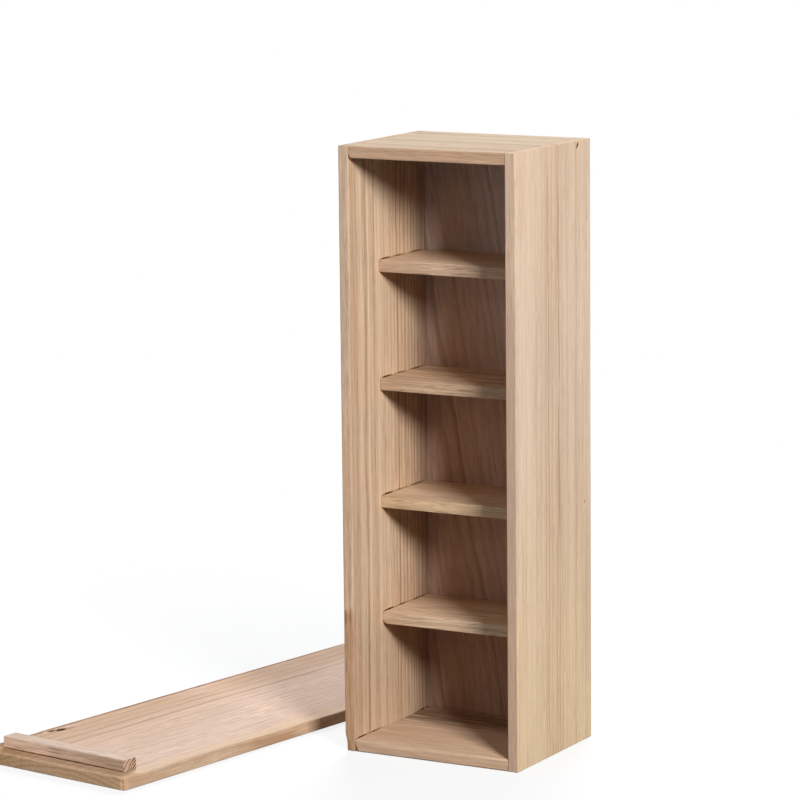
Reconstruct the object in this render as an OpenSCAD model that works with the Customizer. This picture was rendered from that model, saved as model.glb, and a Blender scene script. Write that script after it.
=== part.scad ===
// Wooden compartment box, standing on end with its open face to the front,
// and its loose lid lying beside it with the inner face up.
// Millimetres. Origin at the centre of the box's base, +Z up, open face towards -Y.

/* [Box] */
// Outside width of the box, across the open face
box_w = 96; // [70:1:180]
// Outside depth of the box, from the open face to the back
box_d = 80; // [60:1:140]
// Outside height of the box as it stands
box_h = 300; // [220:1:480]

/* [Boards] */
// Thickness of the two side boards
side_t = 5.5; // [4:0.5:9]
// Thickness of the top and bottom end boards
end_t = 6; // [4:0.5:10]
// Thickness of the back panel
back_t = 4; // [3:0.5:8]
// Thickness of the shelves
shelf_t = 6; // [4:0.5:10]
// Width of the flat sanded along each long edge of a board
arris = 0.4; // [0.2:0.1:0.8]

/* [Shelves] */
// How far the shelves stand back from the open face
shelf_setback = 29; // [10:1:40]

/* [Lid] */
// Thickness of the lid board
lid_t = 6; // [4:0.5:10]
// Width of a lid batten, along the lid
batten_w = 9; // [6:0.5:16]
// Height of a lid batten above the lid's inner face
batten_h = 6; // [4:0.5:10]
// Play between the battens and the box's opening, on each side
batten_play = 2.5; // [0.5:0.5:5]
// Clear floor between the lid and the box's rear left corner
lid_gap = 23.5; // [10:0.5:60]
// How far the lid's near end lies in front of the open face
lid_lead = 114.5; // [40:0.5:160]
// How far the lid is turned on the floor, clockwise from above, in degrees
lid_turn = 9.3; // [0:0.1:15]

/* [Brads] */
// Diameter of a brad's shank
brad_d = 1.2; // [0.8:0.1:1.6]
// Diameter of a brad's head
brad_head_d = 2; // [1.8:0.1:3]
// Thickness of a brad's head
brad_head_t = 0.8; // [0.4:0.1:1.5]
// How far a brad runs into the board that it holds
brad_bite = 12; // [6:0.5:18]
// Distance of the end boards' brads from the back of the box
end_brad_inset = 13.5; // [8:0.5:30]
// Distance of the shelves' brads from the rear edge of their shelf
shelf_brad_inset = 2.5; // [2:0.5:20]
// Radial play of a brad in its hole
brad_play = 0.05; // [0.02:0.01:0.1]

/* [Hidden] */
$fn = 48;

wood = "#d9bd98";
wood_shelf = "#c9a880";
wood_back = "#a87f5c";
wood_lid = "#dcc3a6";
steel = "#6b6663";

shelf_count = 4;
inner_w = box_w - 2 * side_t;
inner_h = box_h - 2 * end_t;
shelf_d = box_d - back_t - shelf_setback;
bay_h = (inner_h - shelf_count * shelf_t) / (shelf_count + 1);

// Underside of a shelf, counted from the top
function shelf_z(number) = box_h - end_t - number * (bay_h + shelf_t);

// Where the side boards are nailed
end_brad_heights = [end_t / 2, box_h - end_t / 2];
shelf_brad_heights = [for (number = [1 : shelf_count]) shelf_z(number) + shelf_t / 2];
end_brad_y = box_d / 2 - end_brad_inset;
shelf_brad_y = box_d / 2 - back_t - shelf_brad_inset;

// The lid covers the whole open face, and its battens drop inside the opening
lid_w = box_w;
lid_l = box_h;
batten_l = inner_w - 2 * batten_play;
batten_inset = end_t + batten_play;
lid_near_x = -box_w / 2 - lid_gap - (box_d + lid_lead) * tan(lid_turn);
lid_near_y = -box_d / 2 - lid_lead;

// Section of a sawn board with its four long edges eased, centred
module eased_section(across, thick) {
    a = across / 2;
    t = thick / 2;
    polygon([
        [-a + arris, -t], [a - arris, -t], [a, -t + arris], [a, t - arris],
        [a - arris, t], [-a + arris, t], [-a, t - arris], [-a, -t + arris]
    ]);
}

// Board lying along X and centred on it, width along Y, underside at z = 0
module cross_board(length, across, thick) {
    translate([-length / 2, 0, thick / 2])
        rotate([90, 0, 90])
            linear_extrude(length)
                eased_section(across, thick);
}

// Brad in the left side board, its head flush with the plane x = 0 and its point towards +X
module brad() {
    rotate([0, 90, 0]) {
        cylinder(h = brad_head_t, d = brad_head_d);
        cylinder(h = side_t + brad_bite, d = brad_d);
    }
}

// Hole that such a brad sits in
module brad_hole() {
    rotate([0, 90, 0])
        translate([0, 0, -brad_play]) {
            cylinder(h = brad_head_t + 2 * brad_play, d = brad_head_d + 2 * brad_play);
            cylinder(h = side_t + brad_bite + 2 * brad_play, d = brad_d + 2 * brad_play);
        }
}

// A copy of the child at each height, driven in from the left and from the right
module at_each_brad(heights, y) {
    for (z = heights) {
        translate([-box_w / 2, y, z]) children();
        translate([box_w / 2, y, z]) rotate(180) children();
    }
}

module end_brad_holes() {
    at_each_brad(end_brad_heights, end_brad_y) brad_hole();
}

module shelf_brad_holes() {
    at_each_brad(shelf_brad_heights, shelf_brad_y) brad_hole();
}

// Upright side board with its middle at x, drilled for the brads
module side_board(x) {
    difference() {
        translate([x, 0, 0])
            linear_extrude(box_h)
                rotate(90)
                    eased_section(box_d, side_t);
        end_brad_holes();
        shelf_brad_holes();
    }
}

module left_side() {
    color(wood) side_board(-(box_w - side_t) / 2);
}

module right_side() {
    color(wood) side_board((box_w - side_t) / 2);
}

// End board between the sides, with its underside at z
module end_board(z) {
    difference() {
        translate([0, 0, z]) cross_board(inner_w, box_d, end_t);
        end_brad_holes();
    }
}

module top_end() {
    color(wood) end_board(box_h - end_t);
}

module bottom_end() {
    color(wood) end_board(0);
}

// Panel let in between the sides and the end boards, flush at the back
module back_panel() {
    color(wood_back)
        translate([-inner_w / 2, box_d / 2 - back_t, end_t])
            cube([inner_w, back_t, inner_h]);
}

// Shelf between the sides, against the back panel
module shelf(number) {
    color(wood_shelf)
        difference() {
            translate([0, (shelf_setback - back_t) / 2, shelf_z(number)])
                cross_board(inner_w, shelf_d, shelf_t);
            shelf_brad_holes();
        }
}

module shelf_1() {
    shelf(1);
}

module shelf_2() {
    shelf(2);
}

module shelf_3() {
    shelf(3);
}

module shelf_4() {
    shelf(4);
}

module end_brads() {
    color(steel) at_each_brad(end_brad_heights, end_brad_y) brad();
}

module shelf_brads() {
    color(steel) at_each_brad(shelf_brad_heights, shelf_brad_y) brad();
}

// Puts a child that is drawn for the lid, centred on its width with its near end at y = 0,
// at the lid's place on the floor
module on_lid() {
    translate([lid_near_x, lid_near_y, 0])
        rotate(-lid_turn)
            translate([-lid_w / 2, 0, 0])
                children();
}

module lid_board() {
    color(wood_lid)
        on_lid()
            translate([0, lid_l, lid_t / 2])
                rotate([90, 0, 0])
                    linear_extrude(lid_l)
                        eased_section(lid_w, lid_t);
}

// Batten across the lid with its middle at y
module batten(y) {
    color(wood_lid)
        on_lid()
            translate([0, y, lid_t])
                cross_board(batten_l, batten_w, batten_h);
}

module near_batten() {
    batten(batten_inset + batten_w / 2);
}

module far_batten() {
    batten(lid_l - batten_inset - batten_w / 2);
}

left_side();
right_side();
top_end();
bottom_end();
back_panel();
shelf_1();
shelf_2();
shelf_3();
shelf_4();
end_brads();
shelf_brads();
lid_board();
near_batten();
far_batten();
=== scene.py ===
# Wooden compartment box standing on end, with its loose lid on the floor beside it.
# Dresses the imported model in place: metres, +Z up, open face towards -Y.

import math
from collections import namedtuple

import bmesh
import bpy
import numpy as np
from mathutils import Matrix, Vector


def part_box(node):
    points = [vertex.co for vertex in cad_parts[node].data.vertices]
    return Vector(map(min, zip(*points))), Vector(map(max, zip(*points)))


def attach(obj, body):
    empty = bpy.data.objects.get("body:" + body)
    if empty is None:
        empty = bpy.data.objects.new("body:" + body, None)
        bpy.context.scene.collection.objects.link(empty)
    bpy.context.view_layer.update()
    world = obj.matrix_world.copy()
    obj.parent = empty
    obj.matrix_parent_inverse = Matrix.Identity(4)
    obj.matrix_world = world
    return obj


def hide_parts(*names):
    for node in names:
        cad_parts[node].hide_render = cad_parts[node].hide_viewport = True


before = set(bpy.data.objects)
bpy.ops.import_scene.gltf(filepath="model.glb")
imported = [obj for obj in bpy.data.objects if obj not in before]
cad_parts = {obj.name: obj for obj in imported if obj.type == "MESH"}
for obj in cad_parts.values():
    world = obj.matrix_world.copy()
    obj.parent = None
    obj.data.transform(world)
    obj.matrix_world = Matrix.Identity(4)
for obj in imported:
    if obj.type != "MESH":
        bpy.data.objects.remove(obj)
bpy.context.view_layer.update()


# Side boards: two upright boards of bare paulownia, sawn so that the growth rings run up them as lines.
# They are sanded outside and brushed inside, where the hard rings stand up as ridges.
# Every other board butts between them, and is held by glue and by wire brads driven through them.

MM = 0.001

# A dent, gap or chip in a board: its middle, how far it reaches along each axis, which way and how far
# it moves the surface, how much it darkens it, and how much it leans across the grain. Millimetres.
Mark = namedtuple("Mark", "place reach push stain lean", defaults=(0, 0))


def mesh_lines(low, high, ease, pitch, marks):
    """Mesh lines along one axis of a board: close in its eased edges and at its marks, even between."""
    closest = 0.012
    rounded = ease * np.array([0, 0.42, 0.73, 1, 1.5])
    flat = np.linspace(low + rounded[-1], high - rounded[-1], round((high - low) / pitch) + 1)
    marked = [middle + reach * np.linspace(-1, 1, 9) for middle, reach in marks]
    lines = np.concatenate([low + rounded, flat, high - rounded, *marked])
    lines = np.unique(lines.clip(low, high).round(4))
    spaced = np.append(np.diff(lines) > closest, True)
    spaced[0] = True
    return lines[spaced]


def sawn_board(name, low, high, ease, pitch, worn, marks=()):
    """Board from corner to corner, in millimetres, with its edges rounded over by ease along each axis.
    worn(at, facing) is how deep each point of its surface lies below the sawn face."""
    low, high, ease = np.array(low), np.array(high), np.array(ease)
    lines = []
    for axis in range(3):
        near = [(mark.place[axis], mark.reach[axis]) for mark in marks]
        lines.append(mesh_lines(low[axis], high[axis], ease[axis], pitch[axis], near))
    skin = np.zeros([len(line) for line in lines], bool)
    for axis in range(3):
        np.moveaxis(skin, axis, 0)[[0, -1]] = True
    number = np.full(skin.shape, -1)
    number[skin] = np.arange(skin.sum())

    at = np.stack(np.meshgrid(*lines, indexing="ij"), -1)[skin]
    core = at.clip(low + ease, high - ease)
    round_over = (at - core) / ease
    round_over /= np.linalg.norm(round_over, axis=1, keepdims=True)
    facing = round_over / ease
    facing /= np.linalg.norm(facing, axis=1, keepdims=True)
    depth = worn(at, facing)
    points = core + round_over * ease - facing * depth[:, None]
    stain = np.zeros(len(at))
    for mark in marks:
        away = at - np.array(mark.place)
        away[:, 1] -= mark.lean * away[:, 2]
        near = (1 - ((away / np.array(mark.reach)) ** 2).sum(1)).clip(0, 1)
        near = near * near * (3 - 2 * near)
        points += near[:, None] * np.array(mark.push)
        stain = np.maximum(stain, near * mark.stain)

    quads = []
    for axis in range(3):
        for end in (0, -1):
            face = np.take(number, end, axis)
            quad = (face[:-1, :-1], face[1:, :-1], face[1:, 1:], face[:-1, 1:])
            outward = np.stack(quad, -1).reshape(-1, 4)
            turned = (end == 0) != (axis == 1)
            quads.append(outward[:, ::-1] if turned else outward)
    mesh = bpy.data.meshes.new(name)
    mesh.from_pydata((points * MM).tolist(), [], np.concatenate(quads).tolist())
    mesh.shade_smooth()
    arris = (2 - 2 * (round_over**2).max(1)).clip(0, 1)
    for label, values in (("arris", arris), ("stain", stain), ("hollow", depth)):
        attribute = mesh.attributes.new(label, "FLOAT", "POINT")
        attribute.data.foreach_set("value", values.astype(np.float32))
    board = bpy.data.objects.new(name, mesh)
    bpy.context.scene.collection.objects.link(board)
    return board


def worn_grain(across, along, pitch, under, over, edge, start=0.0, smooth_to=None):
    """How a board is worn: the soft wood between its rings is hollowed by under and over on its two broad
    faces and by edge on its edges, in millimetres, and its arrises are nicked here and there.
    smooth_to is where a strip ends, from the lower edge across the board, that has been planed smoother."""
    through = 3 - across - along

    def worn(at, facing):
        side, run = at[:, across] + 0.6 * at[:, through], at[:, along]
        side = side + 0.9 * np.sin(side / 7.3 + start) + 0.5 * np.sin(side / 3.1 + 2 * start)
        ring = side / pitch + 0.3 * np.sin(run / 71 + side / 11 + start) + 0.12 * np.sin(run / 19 + start)
        hollow = (0.5 + 0.5 * np.cos(2 * math.pi * ring)) ** 2
        hollow *= 0.75 + 0.25 * np.sin(side / 5.7 + run / 90 + start)
        if smooth_to is not None:
            hollow *= 0.3 + 0.7 * ((at[:, across] - smooth_to) / 12 + 0.5).clip(0, 1)
        broad = facing[:, through]
        depth = hollow * np.where(broad > 0, over * broad, -under * broad)
        depth += hollow * edge * abs(facing[:, across])
        arris = 2 - 2 * (facing**2).max(1)
        rub = np.sin(run / 6.1 + start) + np.sin(run / 2.7 + 3 * start) + np.sin(run / 23 + side / 9)
        return depth + arris * (0.04 + 0.1 * (rub - 1.1).clip(0, 1))

    return worn


def add(tree, kind, inputs=(), **settings):
    """Adds a node to a material or a group, and feeds each of its inputs from a socket or a value."""
    node = tree.nodes.new("ShaderNode" + kind)
    for setting, value in settings.items():
        setattr(node, setting, value)
    for socket, value in dict(inputs).items():
        if isinstance(value, bpy.types.NodeSocket):
            tree.links.new(value, node.inputs[socket])
        else:
            node.inputs[socket].default_value = value
    return node


def figure(tree, operation, *values):
    """One step of arithmetic on numbers that change over the surface."""
    return add(tree, "Math", enumerate(values), operation=operation).outputs[0]


def ramp(tree, value, low, high):
    """Smooth rise from 0 at low to 1 at high."""
    limits = {"Value": value, "From Min": low, "From Max": high}
    return add(tree, "MapRange", limits, interpolation_type="SMOOTHSTEP").outputs[0]


def cloud(tree, place, stretch, detail=2.0):
    """Smooth random field from 0 to 1. stretch is how many times it changes in a millimetre of each axis."""
    spread = add(tree, "VectorMath", {0: place, 1: stretch}, operation="MULTIPLY").outputs[0]
    return add(tree, "TexNoise", {"Vector": spread, "Scale": 1.0, "Detail": detail}).outputs[0]


def tint(tree, amount, under, over, way="MIX"):
    """Lays one colour over another."""
    layer = {"Factor": amount, 6: under, 7: over}
    return add(tree, "Mix", layer, data_type="RGBA", blend_type=way).outputs[2]


def shader_group(name, takes, gives):
    """Empty node group, with its inputs and outputs."""
    tree = bpy.data.node_groups.new(name, "ShaderNodeTree")
    for in_out, sockets in (("INPUT", takes), ("OUTPUT", gives)):
        for socket, kind in sockets.items():
            tree.interface.new_socket(socket, in_out=in_out, socket_type="NodeSocket" + kind)
    return tree, tree.nodes.new("NodeGroupInput").outputs, tree.nodes.new("NodeGroupOutput").inputs


def paulownia_group():
    """Bare paulownia: growth rings round the tree's pith, open pores between them, and fine fibres.
    Place is in millimetres: x across the grain, y through the board, z along the grain."""
    takes = {"Place": "Vector", "Pith": "Vector", "Lean": "Vector", "Ring Width": "Float", "Flame": "Float"}
    takes.update({"Uneven": "Float", "Pale": "Color", "Warm": "Color", "Line": "Color"})
    takes.update({"Line Strength": "Float", "Coarse": "Float"})
    gives = {"Colour": "Color", "Roughness": "Float", "Height": "Float"}
    tree, given, made = shader_group("paulownia", takes, gives)
    place = given["Place"]
    along = add(tree, "SeparateXYZ", {0: place}).outputs["Z"]
    drift = add(tree, "VectorMath", {0: given["Lean"], "Scale": along}, operation="SCALE").outputs[0]
    place = add(tree, "VectorMath", {0: place, 1: drift}, operation="SUBTRACT").outputs[0]
    out = add(tree, "VectorMath", {0: place, 1: given["Pith"]}, operation="SUBTRACT").outputs[0]
    out = add(tree, "VectorMath", {0: out, 1: (1, 1, 0)}, operation="MULTIPLY").outputs[0]
    radius = add(tree, "VectorMath", {0: out}, operation="LENGTH").outputs["Value"]

    years = figure(tree, "DIVIDE", radius, given["Ring Width"])
    wander = cloud(tree, place, (0.05, 0.05, 0.007))
    years = figure(tree, "MULTIPLY_ADD", wander, given["Flame"], years)
    uneven = cloud(tree, place, (0.16, 0.16, 0.0015))
    years = figure(tree, "MULTIPLY_ADD", uneven, given["Uneven"], years)
    ragged = cloud(tree, place, (0.9, 0.9, 0.05))
    years = figure(tree, "MULTIPLY_ADD", ragged, 0.25, years)
    season = figure(tree, "FRACT", years)
    year = figure(tree, "FLOOR", years)
    hardness = add(tree, "TexWhiteNoise", {"W": year}, noise_dimensions="1D").outputs["Value"]
    late = ramp(tree, season, 0.35, 0.93)
    sharp = ramp(tree, season, 1.0, 0.95)
    line = figure(tree, "MULTIPLY", figure(tree, "MULTIPLY", late, sharp), hardness)

    pores = ramp(tree, cloud(tree, place, (1.5, 1.5, 0.085), 1.0), 0.54, 0.68)
    pores = figure(tree, "MULTIPLY", pores, ramp(tree, season, 0.8, 0.1))
    fibres = cloud(tree, place, (0.95, 0.95, 0.02), 5.0)
    specks = cloud(tree, place, (2.1, 2.1, 0.13), 2.0)
    flush = ramp(tree, cloud(tree, place, (0.035, 0.035, 0.006)), 0.3, 0.7)

    wood = tint(tree, flush, given["Pale"], given["Warm"])
    wood = tint(tree, figure(tree, "MULTIPLY", line, given["Line Strength"]), wood, given["Line"])
    open_pores = figure(tree, "MULTIPLY", figure(tree, "MULTIPLY", pores, 0.5), given["Coarse"])
    wood = tint(tree, open_pores, wood, given["Line"])
    uneven = figure(tree, "MULTIPLY_ADD", fibres, 0.6, -0.56)
    uneven = figure(tree, "MULTIPLY_ADD", specks, 0.55, uneven)
    shade = figure(tree, "MULTIPLY_ADD", uneven, given["Coarse"], 1.0)
    wood = add(tree, "VectorMath", {0: wood, "Scale": shade}, operation="SCALE").outputs[0]
    tree.links.new(wood, made["Colour"])
    rough = figure(tree, "MULTIPLY_ADD", fibres, 0.25, 0.66)
    tree.links.new(figure(tree, "MULTIPLY_ADD", line, -0.08, rough), made["Roughness"])
    open_grain = figure(tree, "MULTIPLY_ADD", pores, -0.7, fibres)
    tree.links.new(figure(tree, "MULTIPLY_ADD", line, 0.5, open_grain), made["Height"])
    return tree


def streak_group():
    """Mask of one long streak in the grain: where it lies across the board, its width, and its two ends."""
    takes = {"Place": "Vector", "Across": "Float", "Width": "Float", "From": "Float", "To": "Float"}
    tree, given, made = shader_group("streak", takes, {"Mask": "Float"})
    parts = add(tree, "SeparateXYZ", {0: given["Place"]}).outputs
    waver = figure(tree, "SUBTRACT", cloud(tree, given["Place"], (0.02, 0.02, 0.013)), 0.5)
    side = figure(tree, "MULTIPLY_ADD", waver, 5.0, parts["X"])
    off = figure(tree, "ABSOLUTE", figure(tree, "SUBTRACT", side, given["Across"]))
    core = ramp(tree, figure(tree, "DIVIDE", off, given["Width"]), 1.0, 0.1)
    start = ramp(tree, figure(tree, "SUBTRACT", parts["Z"], given["From"]), -15.0, 15.0)
    stop = ramp(tree, figure(tree, "SUBTRACT", given["To"], parts["Z"]), -15.0, 15.0)
    broken = ramp(tree, cloud(tree, given["Place"], (0.5, 0.5, 0.03)), 0.2, 0.55)
    ends = figure(tree, "MULTIPLY", start, stop)
    mask = figure(tree, "MULTIPLY", figure(tree, "MULTIPLY", core, ends), broken)
    tree.links.new(mask, made["Mask"])
    return tree


def wear_and_shade_group():
    """What use leaves on a board: rubbed arrises and ragged stains; and dust with painted shade in the
    hollows between the rings.
    """
    rubbed_wood, dust_and_painted_shade = (0.72, 0.6, 0.5, 1), (0.62, 0.46, 0.36, 1)
    light_stain, dark_stain = (0.76, 0.64, 0.54, 1), (0.05, 0.026, 0.015, 1)
    takes = {"Colour": "Color", "Place": "Vector", "Arris": "Float", "Hollow": "Float", "Stain": "Float"}
    tree, given, made = shader_group("wear_and_shade", takes, {"Colour": "Color"})
    patchy = ramp(tree, cloud(tree, given["Place"], (0.25, 0.25, 0.06)), 0.35, 0.65)
    rubbed = figure(tree, "MULTIPLY", figure(tree, "MULTIPLY", given["Arris"], patchy), 0.3)
    wood = tint(tree, rubbed, given["Colour"], rubbed_wood)
    # Dust and painted shade: the hollows between the raised rings are darkened by their depth.
    dust_and_shade = figure(tree, "MINIMUM", figure(tree, "MULTIPLY", given["Hollow"], 2.0), 0.5)
    wood = tint(tree, dust_and_shade, wood, dust_and_painted_shade, "MULTIPLY")
    ragged = figure(tree, "SUBTRACT", cloud(tree, given["Place"], (0.7, 0.7, 0.09), 4.0), 0.5)
    stain = ramp(tree, figure(tree, "MULTIPLY_ADD", ragged, 0.5, given["Stain"]), 0.15, 0.3)
    stain = figure(tree, "MULTIPLY", stain, ramp(tree, given["Stain"], 0.0, 0.15))
    wood = tint(tree, stain, wood, light_stain, "MULTIPLY")
    dark = ramp(tree, figure(tree, "MULTIPLY_ADD", ragged, 0.7, given["Stain"]), 0.45, 0.75)
    dark = figure(tree, "MULTIPLY", dark, ramp(tree, given["Stain"], 0.3, 0.5))
    tree.links.new(tint(tree, dark, wood, dark_stain), made["Colour"])
    return tree


paulownia = paulownia_group()
streak = streak_group()
wear_and_shade = wear_and_shade_group()


def bare_wood(
    name, grain, pith, lean, ring, flame, tones, strength, coarse,
    streaks=(), faces=(), end_rings=1.1, uneven=2.0,
):
    """Material of one board. grain names the axes that lie across, through and along its grain. Each streak
    is its place across, width, two ends, colour and strength. Each face is a direction and its own tone, and
    may say from where to where along the grain the tone comes in."""
    material = bpy.data.materials.new(name)
    material.use_nodes = True
    tree = material.node_tree
    surface = tree.nodes["Principled BSDF"]
    spot = add(tree, "TexCoord")
    parts = add(tree, "SeparateXYZ", {0: spot.outputs["Object"]}).outputs
    turned = add(tree, "CombineXYZ", {i: parts["xyz".index(axis)] for i, axis in enumerate(grain)})
    place = add(tree, "VectorMath", {0: turned.outputs[0], "Scale": 1 / MM}, operation="SCALE").outputs[0]

    growth = {"Place": place, "Pith": pith, "Lean": lean, "Ring Width": ring, "Flame": flame}
    growth.update({tone: (*colour, 1) for tone, colour in zip(("Pale", "Warm", "Line"), tones)})
    normal = add(tree, "SeparateXYZ", {0: spot.outputs["Normal"]}).outputs
    end = ramp(tree, figure(tree, "ABSOLUTE", normal["xyz".index(grain[2])]), 0.5, 0.85)
    line_strength = figure(tree, "MULTIPLY_ADD", end, end_rings, strength)
    growth.update({"Uneven": uneven, "Line Strength": line_strength, "Coarse": coarse})
    wood = add(tree, "Group", growth, node_tree=paulownia)
    colour = wood.outputs["Colour"]
    for across, width, start, stop, shade, depth in streaks:
        run = {"Place": place, "Across": across, "Width": width, "From": start, "To": stop}
        line = add(tree, "Group", run, node_tree=streak)
        mask = figure(tree, "MULTIPLY", line.outputs["Mask"], depth)
        colour = tint(tree, mask, colour, (*shade, 1))

    along = add(tree, "SeparateXYZ", {0: place}).outputs["Z"]
    for axis, way, shade, *span in faces:
        facing = ramp(tree, figure(tree, "MULTIPLY", normal["xyz".index(axis)], way), 0.3, 0.8)
        if span:
            facing = figure(tree, "MULTIPLY", facing, ramp(tree, along, *span))
        colour = tint(tree, facing, colour, (*shade, 1), "MULTIPLY")
    end_grain = (0.92, 0.88, 0.83, 1)
    colour = tint(tree, end, colour, end_grain, "MULTIPLY")

    use = {"Colour": colour, "Place": place}
    for socket in ("Arris", "Hollow", "Stain"):
        use[socket] = add(tree, "Attribute", attribute_name=socket.lower()).outputs["Fac"]
    used = add(tree, "Group", use, node_tree=wear_and_shade)
    tree.links.new(used.outputs["Colour"], surface.inputs["Base Color"])
    tree.links.new(wood.outputs["Roughness"], surface.inputs["Roughness"])
    bump = add(tree, "Bump", {"Strength": 0.5, "Distance": 0.12 * MM, "Height": wood.outputs["Height"]})
    tree.links.new(bump.outputs[0], surface.inputs["Normal"])
    surface.inputs["Specular IOR Level"].default_value = 0.02
    return material


def fit(board, material, body, slot, *nodes):
    """Gives a board its material, and puts it in the place of its solid."""
    board.data.materials.append(material)
    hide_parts(*nodes)
    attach(board, body)


def corners(node):
    """Lowest and highest corner of a solid, in millimetres."""
    low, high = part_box(node)
    return low / MM, high / MM


side_tones = (0.73, 0.56, 0.415), (0.655, 0.48, 0.345), (0.42, 0.275, 0.175)
side_ease = (0.5, 0.5, 0.25)
side_pitch = (1.4, 0.4, 5)
brown_inside = (0.92, 0.88, 0.82)
# Painted shade for the inside of the lowest compartment.
foot_painted_shade = (0.88, 0.85, 0.83)
dull_front = (0.78, 0.72, 0.7)
soiled_front = (0.95, 0.92, 0.9)
red_front_low = (1.06, 0.99, 0.92)
worn_foot = (0.81, 0.71, 0.62)
side_end = (0.96, 0.94, 0.92)
red_streak = (0.3, 0.155, 0.09)
pink_streak = (0.55, 0.33, 0.22)
brown_streak = (0.36, 0.22, 0.13)
pale_band = (0.83, 0.655, 0.495)
# Painted shade for the rear inside corner of the left board.
rear_corner_painted_shade = (0.47, 0.35, 0.29)
brad_y, low_brad, high_brad = 26.5, 3, 297


def joint_gaps(wall):
    """Dark, uneven gaps where the shelves and the bottom meet the face of a side board."""
    gaps = []
    for node in ("shelf_1", "shelf_2", "shelf_3", "shelf_4", "bottom_end"):
        low, high = corners(node)
        gaps.append(Mark((wall, low.y + 7, high.z), (1, 8, 1), (0, 0, 0), 0.85))
        gaps.append(Mark((wall, low.y + 20, high.z), (1, 11, 0.9), (0, 0, 0), 0.65))
        gaps.append(Mark((wall, high.y - 10, high.z), (1, 11, 0.9), (0, 0, 0), 0.65))
    return gaps


low, high = corners("left_side")
front, foot, outside = low.y, low.z, low.x
left_marks = joint_gaps(high.x) + [
    Mark((low.x + 1.2, front, 67), (0.9, 1, 7), (0, 0, 0), 0.34),
    Mark((low.x + 3.8, front, 68.5), (0.8, 1, 7), (0, 0, 0), 0.34),
    Mark((low.x + 3.6, front, 190), (0.5, 1, 260), (0, 0, 0), 0.22),
    Mark((low.x, front, foot), (3.5, 5, 9), (0.9, 0.3, 0), 0.2),
    Mark((outside, brad_y, high_brad), (1, 1, 1.4), (0.3, 0, 0), 0.4),
    Mark((outside, brad_y, low_brad), (1, 1, 1.4), (0.3, 0, 0), 0.4),
]
left_worn = worn_grain(1, 2, pitch=3.5, under=0.04, over=0.24, edge=0.05, start=0.4, smooth_to=5)
left_board = sawn_board("left_side_board", low, high, side_ease, side_pitch, left_worn, left_marks)
left_streaks = [
    # Painted shade: a grey-brown band along the left board's rear edge, inside and out, where the inside
    # corner lies in shadow.
    (37, 17, -20, 320, rear_corner_painted_shade, 0.7),
    (-36, 3, 180, 300, pink_streak, 0.5),
    (-29, 3.5, 0, 300, pale_band, 0.65),
    (-21.5, 2.2, 0, 300, pale_band, 0.8),
    (-12, 4, 0, 300, pale_band, 0.6),
    (-33, 0.9, 0, 300, red_streak, 0.35),
    (-24.8, 1.2, 0, 300, red_streak, 0.5),
    (-16, 0.9, 0, 300, brown_streak, 0.4),
    (7.4, 0.9, 0, 300, red_streak, 0.6),
    (15, 0.8, 0, 300, brown_streak, 0.5),
]
left_wood = bare_wood(
    "left side paulownia", "yxz", pith=(-300, -130, 0), lean=(0.004, 0, 0), ring=3.4, flame=0.6,
    tones=side_tones, strength=0.5, coarse=1.0, streaks=left_streaks,
    faces=[
        # Painted shade: the left board's inner face darkens towards its foot, in the lowest compartment.
        ("x", 1, brown_inside), ("x", 1, foot_painted_shade, 85, 50),
        ("y", -1, soiled_front), ("y", -1, red_front_low, 190, 150), ("y", -1, worn_foot, 73, 68),
        ("z", 1, side_end),
    ],
    end_rings=0.5, uneven=0.9,
)
fit(left_board, left_wood, "box", "side_wood", "left_side")

low, high = corners("right_side")
outside = high.x
right_marks = joint_gaps(low.x) + [
    Mark((outside, brad_y, high_brad + 0.6), (1.4, 1.4, 1.9), (-0.9, 0, 0), 1.0, 0.45),
    Mark((outside, brad_y, low_brad), (1, 1, 1.4), (-0.3, 0, 0), 0.4),
    Mark((outside, 33.5, 120.6), (1, 1, 1.5), (-0.3, 0, 0), 0.6),
]
right_worn = worn_grain(1, 2, pitch=3.5, under=0.24, over=0.04, edge=0.05, start=1.9, smooth_to=5)
right_board = sawn_board("right_side_board", low, high, side_ease, side_pitch, right_worn, right_marks)
right_tones = (0.785, 0.605, 0.45), (0.705, 0.52, 0.375), (0.45, 0.3, 0.19)
grey_band = (0.52, 0.37, 0.27)
yellow_low = (1.06, 1.03, 0.9)
# Painted shade that darkens the right board's outer face towards its top.
upper_painted_shade = (0.95, 0.935, 0.92)
right_streaks = [
    (-40, 3.5, 80, 230, grey_band, 0.4),
    (-25, 7, 0, 300, pale_band, 0.4),
    (19, 4.5, 0, 300, pale_band, 0.4),
    (-5.7, 0.9, 0, 300, brown_streak, 0.5),
    (5, 1.0, 110, 300, brown_streak, 0.75),
    (3.6, 0.8, 0, 150, brown_streak, 0.5),
    (6.2, 0.8, 0, 150, brown_streak, 0.5),
]
right_wood = bare_wood(
    "right side paulownia", "yxz", pith=(-400, 200, 0), lean=(0.003, 0, 0), ring=5.0, flame=0.5,
    tones=right_tones, strength=0.4, coarse=0.7, streaks=right_streaks,
    faces=[
        # Painted shade: the outer face darkens towards its top, against the front right light, which lies
        # closest there.
        ("x", -1, brown_inside), ("x", 1, yellow_low, 190, 10), ("x", 1, upper_painted_shade, 150, 290),
        ("y", -1, dull_front), ("y", -1, soiled_front, 100, 70), ("z", 1, side_end),
    ],
    end_rings=0.5, uneven=0.9,
)
fit(right_board, right_wood, "box", "side_wood", "right_side")


# Back panel: one thin, browner board let in between the sides and the ends, and glued there.
# It was cut aslant from the trunk, so its broad growth rings lean across it in long curves.

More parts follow.
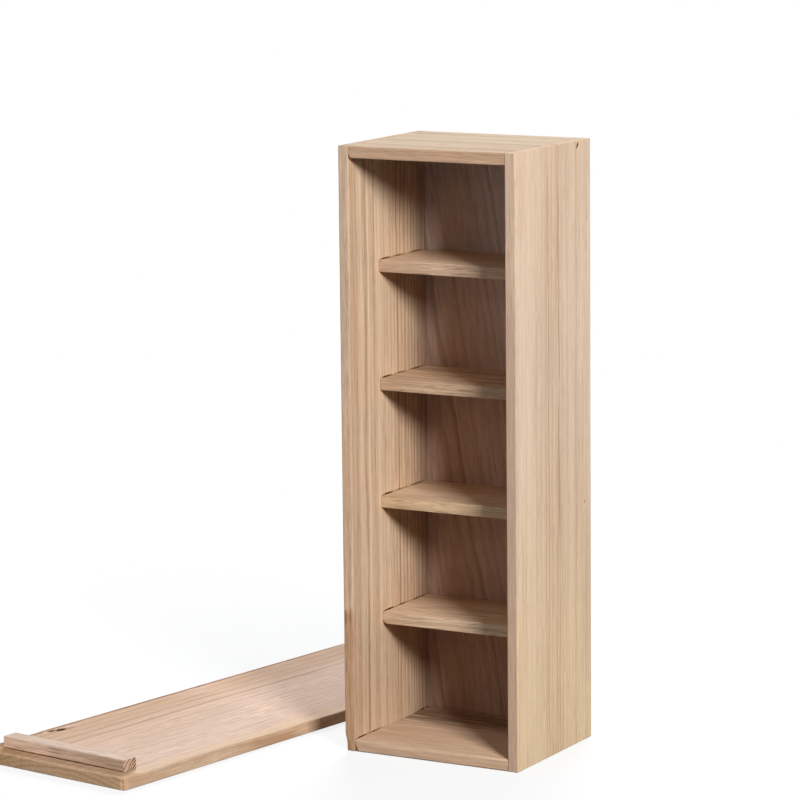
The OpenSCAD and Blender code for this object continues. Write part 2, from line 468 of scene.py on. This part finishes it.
back_tones = (0.59, 0.41, 0.32), (0.5, 0.335, 0.247), (0.22, 0.12, 0.07)
low, high = corners("back_panel")
back_worn = worn_grain(across=0, along=2, pitch=4.5, under=0.05, over=0.05, edge=0.0, start=2.6)
back_board = sawn_board("back_board", low, high, (0.15, 0.3, 0.15), (0.8, 1.3, 6), back_worn)
# Painted light and shade on the back panel's inner face: a cool grey cast towards the top for the cool light
# in the upper compartments, and a darker brown towards the foot.
upper_painted_cool_light = (1.02, 1.19, 1.4)
lower_painted_shade = (0.8, 0.76, 0.72)
back_wood = bare_wood(
    "back panel paulownia", "xyz", pith=(-230, 60, 0), lean=(-0.18, 0, 0), ring=5.6, flame=3.2,
    tones=back_tones, strength=0.56, coarse=0.8,
    # Painted cool light towards the top of the inner face, painted shade towards its foot.
    faces=[("y", -1, upper_painted_cool_light, 160, 250), ("y", -1, lower_painted_shade, 90, 20)],
    uneven=0.9,
)
fit(back_board, back_wood, "box", "back_wood", "back_panel")


# End boards: the top and the bottom of the standing box, butted between the sides.
# Their grain runs from side to side, and the bottom one has its front edge rounded over by hand.

top_tones = (0.545, 0.41, 0.295), (0.495, 0.36, 0.25), (0.33, 0.205, 0.13)
red_front = (1.06, 0.94, 0.88)
pale_top = (1.14, 1.155, 1.12)
end_pitch = (5, 0.5, 1.4)

low, high = corners("top_end")
top_marks = [
    Mark((low.x, low.y, low.z), (1.8, 6, 3), (0.5, 0, 0), 0.6),
]
top_worn = worn_grain(across=1, along=0, pitch=3.6, under=0.06, over=0.03, edge=0.05, start=0.9)
top_board = sawn_board("top_end_board", low, high, (0.06, 0.5, 0.5), end_pitch, top_worn, top_marks)
top_streaks = [
    (-29, 3, -60, 60, (0.36, 0.24, 0.16), 0.5),
    (-18, 4, -60, 60, (0.4, 0.27, 0.18), 0.4),
    (-2, 3, -60, 60, (0.36, 0.24, 0.16), 0.5),
    (13, 6, -60, 60, (0.42, 0.29, 0.19), 0.4),
    (29, 4, -60, 60, (0.38, 0.26, 0.17), 0.4),
]
top_wood = bare_wood(
    "top end paulownia", "yzx", pith=(20, 480, 0), lean=(0.01, 0, 0), ring=3.8, flame=1.5,
    tones=top_tones, strength=1.0, coarse=1.2, streaks=top_streaks,
    faces=[("y", -1, red_front), ("z", -1, brown_inside), ("z", 1, pale_top)],
)
fit(top_board, top_wood, "box", "end_wood", "top_end")

bottom_tones = (0.75, 0.54, 0.385), (0.665, 0.46, 0.31), (0.4, 0.24, 0.145)
bottom_front = (0.98, 0.94, 0.9)
# Painted shade for the rear of the compartment floor.
rear_floor_painted_shade = (0.2, 0.115, 0.065)
bottom_ease = (0.15, 0.9, 0.9)
low, high = corners("bottom_end")
bottom_marks = [
    Mark((low.x, low.y, low.z), (2.2, 7, 5), (0.5, 0, 0), 0.6),
    Mark((0, low.y, high.z), (60, 1.6, 1.6), (0, 0.25, -0.25), 0),
]
bottom_worn = worn_grain(across=1, along=0, pitch=3.9, under=0.03, over=0.06, edge=0.05, start=3.3)
bottom_board = sawn_board("bottom_end_board", low, high, bottom_ease, end_pitch, bottom_worn, bottom_marks)
bottom_wood = bare_wood(
    "bottom end paulownia", "yzx", pith=(-30, 260, 0), lean=(0.015, 0, 0), ring=3.6, flame=1.5,
    tones=bottom_tones, strength=0.5, coarse=1.0,
    # Painted shade: a dark band across the rear of the bottom board, where the right board and the lowest
    # shelf shade it; the band runs through the board.
    streaks=[(20, 24, -60, 60, rear_floor_painted_shade, 0.93)], faces=[("y", -1, bottom_front)],
)
fit(bottom_board, bottom_wood, "box", "end_wood", "bottom_end")


# Shelves: four short boards glued and nailed between the sides, standing back from the open face.
# They are offcuts of the same wood, each with its own grain, left a little rough from the saw.

shelf_tones = (0.76, 0.56, 0.385), (0.67, 0.465, 0.31), (0.33, 0.19, 0.115)
shelf_brown = (0.34, 0.21, 0.13)
shelf_bands = (2.5, 1.4), (11, 2.6), (22, 3.2), (34, 3.6)
# For each shelf: the pith that its rings run round, their lean, width and strength, and its front's tone.
shelf_looks = {
    "shelf_1": ((15, 90, 0), (0.03, 0.02, 0), 3.4, 0.7, (0.75, 0.71, 0.71)),
    "shelf_2": ((60, 10, 0), (0.02, 0.01, 0), 2.7, 1.0, (0.76, 0.73, 0.71)),
    "shelf_3": ((-40, 170, 0), (0.03, 0.0, 0), 3.8, 0.6, (0.91, 0.9, 0.82)),
    "shelf_4": ((10, -110, 0), (0.02, 0.02, 0), 3.5, 0.6, (0.89, 0.89, 0.88)),
}
for number, (node, (pith, lean, ring, strength, front_tone)) in enumerate(shelf_looks.items()):
    low, high = corners(node)
    shelf_worn = worn_grain(1, 0, pitch=3.2, under=0.06, over=0.09, edge=0.06, start=1.3 * number)
    chips, bands = [], []
    if node == "shelf_4":
        chips = [Mark((low.x, low.y, low.z), (2.2, 1.4, 1.4), (0, 0.3, 0.4), 0.45)]
    if node == "shelf_2":
        chips = [Mark((-9.5, low.y, low.z + 3.4), (14, 1, 2.2), (0, 0.1, 0), 0.24)]
        bands = [(low.y + at, width, -60, 60, shelf_brown, 0.6) for at, width in shelf_bands]
    shelf_board = sawn_board(node + "_board", low, high, (0.3, 0.45, 0.45), end_pitch, shelf_worn, chips)
    pith = (pith[0], pith[1] + low.z, 0)
    shelf_wood = bare_wood(
        node + " paulownia", "yzx", pith=pith, lean=lean, ring=ring, flame=1.5,
        tones=shelf_tones, strength=strength, coarse=1.3, streaks=bands, faces=[("y", -1, front_tone)],
    )
    fit(shelf_board, shelf_wood, "box", "shelf_wood", node)


# Brads: headed wire pins driven through the sides into the ends of the cross boards.
# Their heads are punched a little below the surface, and the wire has gone dull and dark.

brad_steel = bpy.data.materials.new("dull brad wire")
brad_steel.use_nodes = True
tree = brad_steel.node_tree
surface = tree.nodes["Principled BSDF"]
spot = add(tree, "TexCoord").outputs["Object"]
place = add(tree, "VectorMath", {0: spot, "Scale": 1 / MM}, operation="SCALE").outputs[0]
grey_wire, rusty_wire = (0.16, 0.15, 0.145, 1), (0.07, 0.045, 0.03, 1)
tarnish = cloud(tree, place, (1.6, 1.6, 1.6), 4.0)
colour = tint(tree, ramp(tree, tarnish, 0.35, 0.65), grey_wire, rusty_wire)
tree.links.new(colour, surface.inputs["Base Color"])
tree.links.new(figure(tree, "MULTIPLY_ADD", tarnish, 0.5, 0.3), surface.inputs["Roughness"])
surface.inputs["Metallic"].default_value = 0.8

# Radius of a brad and how deep that lies below the side board's face, from the head to the point.
brad_profile = [
    (0, 0.42), (0.55, 0.4), (0.82, 0.5), (0.9, 0.62), (0.82, 0.8), (0.56, 1), (0.54, 15.5), (0, 17.2),
]
brad_sides = 20


def wire_brads(name, heads):
    """Turned pins, one for each head: its place on the side board's face, and which way it is driven."""
    points, faces = [], []
    for (x, y, z), way in heads:
        for radius, sunk in brad_profile:
            for step in range(brad_sides):
                turn = 2 * math.pi * step / brad_sides
                across, up = radius * math.cos(turn), radius * math.sin(turn)
                points.append(Vector((x + way * sunk, y + across, z + up)))
        first = len(points) - brad_sides * len(brad_profile)
        for ring in range(len(brad_profile) - 1):
            for step in range(brad_sides):
                a = first + ring * brad_sides + step
                b = first + ring * brad_sides + (step + 1) % brad_sides
                quad = (a, b, b + brad_sides, a + brad_sides)
                faces.append(quad if way < 0 else quad[::-1])
    mesh = bpy.data.meshes.new(name)
    mesh.from_pydata([point * MM for point in points], [], faces)
    closed = bmesh.new()
    closed.from_mesh(mesh)
    bmesh.ops.remove_doubles(closed, verts=closed.verts, dist=0.001 * MM)
    closed.to_mesh(mesh)
    closed.free()
    mesh.shade_smooth()
    brads = bpy.data.objects.new(name, mesh)
    bpy.context.scene.collection.objects.link(brads)
    return brads


held_boards = {
    "end_brads": ("bottom_end", "top_end"),
    "shelf_brads": ("shelf_1", "shelf_2", "shelf_3", "shelf_4"),
}
for node, boards in held_boards.items():
    low, high = corners(node)
    heads = []
    for board in boards:
        height = sum(corner.z for corner in corners(board)) / 2
        heads.append(((low.x, (low.y + high.y) / 2, height), 1))
        heads.append(((high.x, (low.y + high.y) / 2, height), -1))
    fit(wire_brads(node + "_pins", heads), brad_steel, "box", "brad_steel", node)


# Lid board: a loose board as large as the open face, lying on the floor with its inner face up.
# It is flat-sawn, pink and pale, with browner lines along one edge and a small knot at that edge.

lid_solid = [vertex.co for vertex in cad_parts["lid_board"].data.vertices]
near_right = min(lid_solid, key=lambda corner: corner.y)
far_right = max(lid_solid, key=lambda corner: corner.x)
lid_turn = math.atan2(far_right.x - near_right.x, far_right.y - near_right.y)
lid_corner = Matrix.Translation((near_right.x, near_right.y, 0))
lid_place = lid_corner @ Matrix.Rotation(-lid_turn, 4, "Z")


def lid_corners(node):
    """Lowest and highest corner of a lid solid, in millimetres along and across the lid."""
    onto_lid = lid_place.inverted()
    found = np.array([onto_lid @ vertex.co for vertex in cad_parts[node].data.vertices]) / MM
    return Vector(found.min(0)), Vector(found.max(0))


lid_tones = (0.6, 0.445, 0.355), (0.57, 0.405, 0.31), (0.4, 0.24, 0.155)
lid_line = lid_tones[2]
lid_brown = (0.49, 0.32, 0.2)
lid_yellow = (0.62, 0.45, 0.3)
lid_inside = (1.07, 1.08, 1.08)
# Painted light on the lid's inner face where the box's shadow falls, and painted shade in front of the near
# batten.
lid_painted_light = (1.18, 1.18, 1.2)
lid_batten_painted_shade = (0.86, 0.77, 0.63)
lid_edge = (1.14, 1.1, 0.96)
lid_end = (1.38, 1.29, 1.06)
low, high = lid_corners("lid_board")
lid_marks = [
    Mark((low.x + 5.5, 52, high.z), (2.8, 5, 1.2), (0, 0, -0.4), 0.95),
    Mark((low.x + 4, 47, high.z), (2.4, 4.5, 1.2), (0, 0, -0.2), 0.7),
    Mark((low.x + 7, 57, high.z), (1.4, 5, 1.2), (0, 0, -0.1), 0.5),
    Mark((low.x + 2, 38, high.z), (3, 7, 2), (0.1, 0, -0.15), 0.32),
    Mark((low.x, 150, high.z), (3.2, 220, 0.9), (0, 0, 0), 0.55),
    Mark((high.x, low.y, high.z / 2), (2.8, 2.8, 9), (-0.5, 0.45, 0), 0.1),
    Mark((low.x, low.y, high.z / 2), (3, 3, 9), (0.4, 0.4, 0), 0.1),
]
lid_worn = worn_grain(across=0, along=1, pitch=5, under=0.03, over=0.05, edge=0.04, start=0.2)
lid_board = sawn_board("lid_top_board", low, high, (0.5, 0.3, 0.5), (0.7, 5, 1.4), lid_worn, lid_marks)
lid_board.matrix_world = lid_place
lid_streaks = [
    (-87, 24, -30, 330, lid_brown, 0.7),
    (-95, 2.2, 0, 300, lid_line, 0.9),
    (-88, 1.2, 0, 300, lid_line, 0.7),
    (-82, 1.0, 0, 300, lid_line, 0.6),
    (-76, 1.2, 0, 300, lid_line, 0.7),
    (-68, 1.5, 0, 300, lid_line, 0.85),
    (-58, 0.9, 20, 300, lid_line, 0.4),
    (-47, 0.8, 0, 200, lid_line, 0.3),
    (-5, 6, 0, 300, lid_yellow, 0.7),
    (-0.8, 1.0, 0, 300, lid_line, 0.8),
]
lid_wood = bare_wood(
    "lid paulownia", "xzy", pith=(-40, -120, 0), lean=(0.03, 0.02, 0), ring=2.6, flame=0.8,
    tones=lid_tones, strength=0.3, coarse=1.0, streaks=lid_streaks,
    faces=[
        ("x", 1, lid_edge), ("y", -1, lid_end), ("z", 1, lid_inside),
        # Painted light: paler from 120 mm along the lid onwards, where the box's shadow falls; painted
        # shade: darker in the strip before the near batten, which shades it.
        ("z", 1, lid_painted_light, 120, 190), ("z", 1, lid_batten_painted_shade, 15, 9),
    ],
    uneven=0.5,
)
fit(lid_board, lid_wood, "lid", "lid_wood", "lid_board")


# Battens: two strips glued across the lid's inner face, one near each end.
# They drop inside the box's opening and keep the lid in place.

batten_tones = (0.8, 0.57, 0.41), (0.7, 0.49, 0.35), (0.12, 0.07, 0.045)
batten_end = (0.86, 0.84, 0.86)
batten_top = (0.83, 0.88, 0.98)
batten_pale = (1.31, 1.31, 1.33)
batten_brown = (0.77, 0.74, 0.71)
batten_ease = (0.3, 0.5, 0.5)
batten_pitch = (4, 0.6, 0.6)
# For each batten: the pith that its rings run round, and where the wear of its grain starts.
batten_looks = {"near_batten": (-60, 70, 0.7), "far_batten": (40, -55, 2.1)}
for node, (pith_across, pith_through, start) in batten_looks.items():
    low, high = lid_corners(node)
    batten_worn = worn_grain(across=1, along=0, pitch=2.4, under=0.0, over=0.04, edge=0.04, start=start)
    glue_line = Mark((low.x + 40, low.y, low.z), (75, 1.2, 0.8), (0, 0.25, 0), 0.72)
    strip = node + "_strip"
    batten = sawn_board(strip, low, high, batten_ease, batten_pitch, batten_worn, [glue_line])
    batten.matrix_world = lid_place
    batten_wood = bare_wood(
        node + " paulownia", "yzx", pith=(low.y + pith_across, pith_through, 0), lean=(0.01, 0, 0),
        ring=1.25, flame=0.6, tones=batten_tones, strength=0.22, coarse=1.1,
        faces=[
            ("x", 1, batten_end), ("z", 1, batten_top),
            ("y", -1, batten_pale, -51, -66), ("y", -1, batten_brown, -45, -18),
        ],
        end_rings=2.6,
    )
    fit(batten, batten_wood, "lid", "batten_wood", node)


# Floor and light: a plain white floor that fades to clear white, and gives back little light.
# Three square soft lights stand round the box: the main one at the front right, one at the rear left
# for the top and the lid, and a weak fill at the front left.

floor_radius = 2.5
floor_sides = 96
rim = [2 * math.pi * step / floor_sides for step in range(floor_sides)]
floor_points = [(floor_radius * math.cos(turn), floor_radius * math.sin(turn), 0) for turn in rim]
mesh = bpy.data.meshes.new("floor")
mesh.from_pydata(floor_points, [], [range(floor_sides)])
floor = bpy.data.objects.new("floor", mesh)
floor.location.z = -0.2 * MM
bpy.context.scene.collection.objects.link(floor)


def seen_rays(tree):
    """1 where a surface is seen, straight or in gloss or glass, and 0 where it only lights others."""
    path = add(tree, "LightPath").outputs
    seen = figure(tree, "MAXIMUM", path["Is Camera Ray"], path["Is Glossy Ray"])
    return figure(tree, "MAXIMUM", seen, path["Is Transmission Ray"])


floor_white = bpy.data.materials.new("white floor")
floor_white.use_nodes = True
tree = floor_white.node_tree
tree.nodes.remove(tree.nodes["Principled BSDF"])
seen = seen_rays(tree)
spot = add(tree, "TexCoord").outputs["Object"]
away = add(tree, "VectorMath", {0: spot}, operation="LENGTH").outputs["Value"]
clear = ramp(tree, away, 0.2, 0.55)
clear = figure(tree, "MULTIPLY_ADD", clear, 0.2, 0.8)
white = add(tree, "Emission", {"Color": (1, 1, 1, 1), "Strength": 1.0}).outputs[0]
lit = add(tree, "BsdfDiffuse", {"Color": (0.9, 0.9, 0.9, 1)}).outputs[0]
dull = add(tree, "BsdfDiffuse", {"Color": (0.12, 0.12, 0.12, 1)}).outputs[0]
shown = add(tree, "MixShader", {0: clear, 1: lit, 2: white}).outputs[0]
whole = add(tree, "MixShader", {0: seen, 1: dull, 2: shown}).outputs[0]
tree.links.new(whole, tree.nodes["Material Output"].inputs["Surface"])
floor.data.materials.append(floor_white)

world = bpy.data.worlds.new("studio")
world.use_nodes = True
bpy.context.scene.world = world
tree = world.node_tree
seen = seen_rays(tree)
fill_level = 0.127
level = figure(tree, "MULTIPLY_ADD", seen, 1 - fill_level, fill_level)
tree.links.new(level, tree.nodes["Background"].inputs["Strength"])
cool_fill, clear_white = (0.9, 1, 1.12, 1), (1, 1, 1, 1)
hue = tint(tree, seen, cool_fill, clear_white)
tree.links.new(hue, tree.nodes["Background"].inputs["Color"])


def soft_light(name, place, size, level, hue):
    """Square soft light that faces the box.
    level is how bright it makes a white card that is held there and faces it."""
    lamp = bpy.data.lights.new(name, "AREA")
    lamp.color = hue
    light = bpy.data.objects.new(name, lamp)
    light.location = place
    beam = light.location - Vector((0, 0, 0.15))
    light.rotation_euler = beam.to_track_quat("Z", "Y").to_euler()
    lamp.size = size
    lamp.energy = level * (math.pi * beam.length) ** 2
    bpy.context.scene.collection.objects.link(light)


soft_light("front right light", (0.99, -0.8, 0.78), 0.32, 1.15, (1, 1, 1))
soft_light("rear light", (-0.55, 1.35, 1.05), 0.8, 1.15, (0.97, 1, 1.03))
soft_light("front left fill", (-0.75, -1.25, 0.55), 0.8, 0.11, (0.95, 1, 1.05))


# Camera: the photograph's view, with a long lens from the front right and a little above.
# Its place, angles and lens were fitted to the corners of the box and the lid.

camera_place = (0.8877, -1.6505, 0.4868)
turned_left, tipped_down, rolled = math.radians(29.272), math.radians(9.495), math.radians(-0.591)
camera_data = bpy.data.cameras.new("camera")
camera_data.sensor_width = 36
camera_data.lens = 174.46
camera_data.clip_end = 50
camera = bpy.data.objects.new("camera", camera_data)
swing = Matrix.Rotation(turned_left, 4, "Z")
tip = Matrix.Rotation(math.pi / 2 - tipped_down, 4, "X")
roll = Matrix.Rotation(rolled, 4, "Z")
camera.matrix_world = Matrix.Translation(camera_place) @ swing @ tip @ roll
bpy.context.scene.collection.objects.link(camera)
bpy.context.scene.camera = camera
bpy.context.scene.view_settings.view_transform = "Standard"
